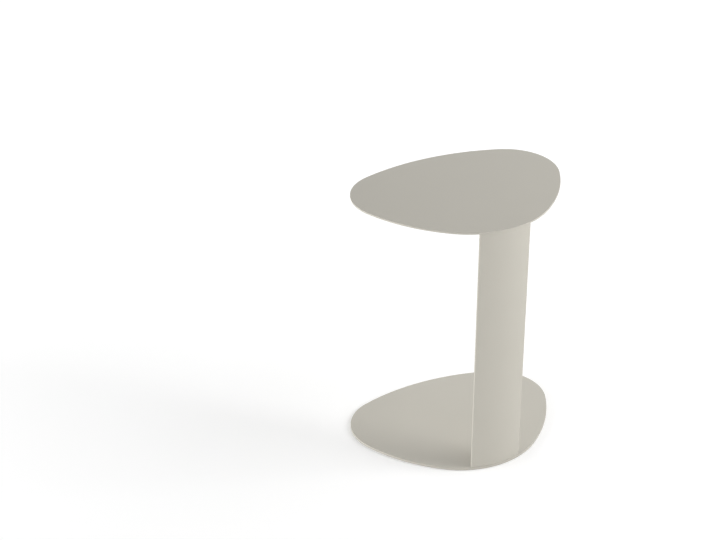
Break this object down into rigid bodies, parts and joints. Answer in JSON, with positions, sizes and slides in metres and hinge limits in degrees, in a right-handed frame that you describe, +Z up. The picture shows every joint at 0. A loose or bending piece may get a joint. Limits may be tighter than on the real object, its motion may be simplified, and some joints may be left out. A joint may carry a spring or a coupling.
{
  "type": "side table",
  "caption": "C-shaped side table of powder-coated sheet steel: a thin rounded-triangle top and a matching base joined at the nose by one curved upright sheet.",
  "frame": {"origin": "on the floor, under the middle of the plan's bounding box", "axes": "+Z up from the floor to the top; X = 0 is the plane of symmetry; the column stands at the -Y end and the open side is +Y"},
  "size_m": [0.4816, 0.364, 0.6],
  "materials": {
    "powder_coat": "warm light grey polyester powder coat, matt, with a very fine orange peel",
    "zinc_plate": "bright zinc plated steel, clear passivated",
    "copper_flashed_steel": "thin copper flash on weld studs, masked during coating",
    "glide_plastic": "black hard polyethylene, fine moulded grain",
    "glide_adhesive": "translucent acrylic adhesive layer"
  },
  "bodies": {
    "root": {"base_plate": "powder_coat", "base_screws": "zinc_plate", "column_sheet": "powder_coat", "foot_flange": "powder_coat", "foot_weld": "powder_coat", "glide_adhesive_1": "glide_adhesive", "glide_adhesive_2": "glide_adhesive", "glide_adhesive_3": "glide_adhesive", "glide_adhesive_4": "glide_adhesive", "glide_adhesive_5": "glide_adhesive", "glide_pad_1": "glide_plastic", "glide_pad_2": "glide_plastic", "glide_pad_3": "glide_plastic", "glide_pad_4": "glide_plastic", "glide_pad_5": "glide_plastic", "head_flange": "powder_coat", "head_weld": "powder_coat", "stud_nuts": "zinc_plate", "stud_washers": "zinc_plate", "top_plate": "powder_coat", "top_studs": "copper_flashed_steel"}
  },
  "joints": []
}
